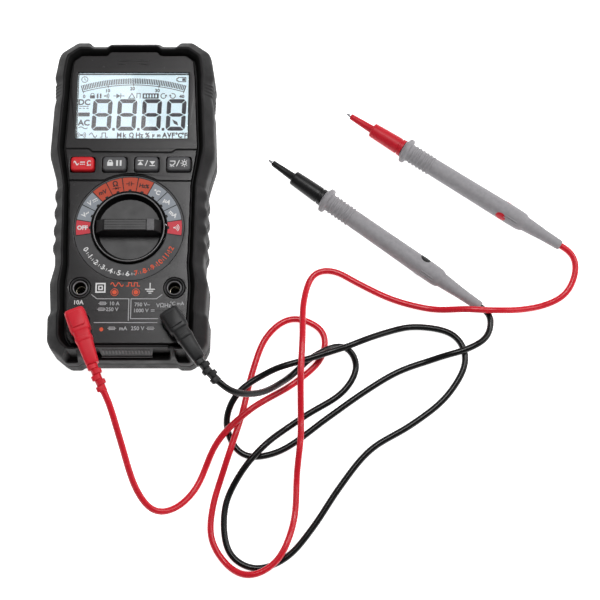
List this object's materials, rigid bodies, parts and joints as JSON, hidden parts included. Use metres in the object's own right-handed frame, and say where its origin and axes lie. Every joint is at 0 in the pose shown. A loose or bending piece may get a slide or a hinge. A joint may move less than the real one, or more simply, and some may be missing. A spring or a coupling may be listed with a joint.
{
  "type": "digital multimeter",
  "caption": "Handheld digital multimeter with backlit display, push keys, rotary range selector, 4 mm input jacks, tilt stand and a red and a black test lead with probes.",
  "frame": {"origin": "on the surface the meter lies on, under the middle of its housing", "axes": "+Z out of the face, +Y towards the display end, +X to the right as the face is read"},
  "size_m": [0.3017, 0.3012, 0.057],
  "materials": {
    "case": "fine moulded grain, charcoal black",
    "bumper": "soft-touch overmould, near black",
    "dial_print": "printed sectors in orange, grey and red on charcoal",
    "lens": "clear polished window",
    "lcd": "pale blue backlit glass with dark segments",
    "white_plastic": "natural white moulding",
    "elastomer": "silicone rubber",
    "circuit_board": "green solder mask",
    "chip": "black moulding compound",
    "brass": "nickel-plated brass",
    "steel": "bright plated steel",
    "fuse": "cream ceramic body",
    "red_key": "satin red key",
    "grey_key": "satin grey key",
    "knob": "satin black moulding",
    "cell": "printed sleeve, plain",
    "red_lead": "satin red silicone",
    "black_lead": "satin black silicone",
    "probe_grip": "mid-grey moulded grip"
  },
  "bodies": {
    "meter": {"front_case": "case", "rear_case": "case", "bumper_frame": "bumper", "dial_plate": "dial_print", "lcd_window": "lens", "lcd_panel": "lcd", "lcd_frame": "white_plastic", "backlight_panel": "white_plastic", "zebra_strip": "elastomer", "main_pcb": "circuit_board", "main_ic": "chip", "buzzer": "chip", "shunt_bar": "brass", "fuse_high": "fuse", "fuse_low": "fuse", "fuse_holder_high": "steel", "fuse_holder_low": "steel", "torch_led": "lens", "keypad_membrane": "elastomer", "detent_spring": "steel", "battery_upper": "cell", "battery_lower": "cell", "battery_contact_left": "steel", "battery_contact_right": "steel", "battery_door": "case", "battery_door_screw": "steel", "stand_pin": "steel", "jack_housing_high_current": "knob", "jack_sleeve_high_current": "brass", "jack_housing_volt_ohm": "knob", "jack_sleeve_volt_ohm": "brass", "jack_housing_low_current": "knob", "jack_sleeve_low_current": "brass", "jack_housing_common": "knob", "jack_sleeve_common": "brass", "case_screw_1": "steel", "case_screw_2": "steel", "case_screw_3": "steel", "case_screw_4": "steel", "red_plug": "red_lead", "red_plug_pin": "brass", "red_cable": "red_lead", "red_probe_handle": "probe_grip", "red_probe_nose": "red_lead", "red_probe_needle": "steel", "black_plug": "black_lead", "black_plug_pin": "brass", "black_cable": "black_lead", "black_probe_handle": "probe_grip", "black_probe_nose": "black_lead", "black_probe_needle": "steel"},
    "selector": {"selector_knob": "knob", "selector_rotor": "white_plastic", "wiper_contacts": "brass"},
    "key_function": {"button_function": "red_key"},
    "key_hold": {"button_hold": "grey_key"},
    "key_range": {"button_range": "grey_key"},
    "key_light": {"button_light": "grey_key"},
    "stand": {"tilt_stand": "case"}
  },
  "joints": [
    {"name": "selector_turn", "type": "hinge", "parent": "meter", "child": "selector", "pos_m": [0, -0.0202, 0.0454], "axis": [0, 0, 1], "range_deg": [-180, 0]},
    {"name": "key_function_press", "type": "slide", "parent": "meter", "child": "key_function", "axis": [0, 0, -1], "range_m": [0, 0.001], "stiffness_N_per_m": 600, "springref_m": -0.0008},
    {"name": "key_hold_press", "type": "slide", "parent": "meter", "child": "key_hold", "axis": [0, 0, -1], "range_m": [0, 0.001], "stiffness_N_per_m": 600, "springref_m": -0.0008},
    {"name": "key_range_press", "type": "slide", "parent": "meter", "child": "key_range", "axis": [0, 0, -1], "range_m": [0, 0.001], "stiffness_N_per_m": 600, "springref_m": -0.0008},
    {"name": "key_light_press", "type": "slide", "parent": "meter", "child": "key_light", "axis": [0, 0, -1], "range_m": [0, 0.001], "stiffness_N_per_m": 600, "springref_m": -0.0008},
    {"name": "stand_swing", "type": "hinge", "parent": "meter", "child": "stand", "pos_m": [0, 0.0695, 0.00175], "axis": [1, 0, 0], "range_deg": [0, 72]}
  ]
}
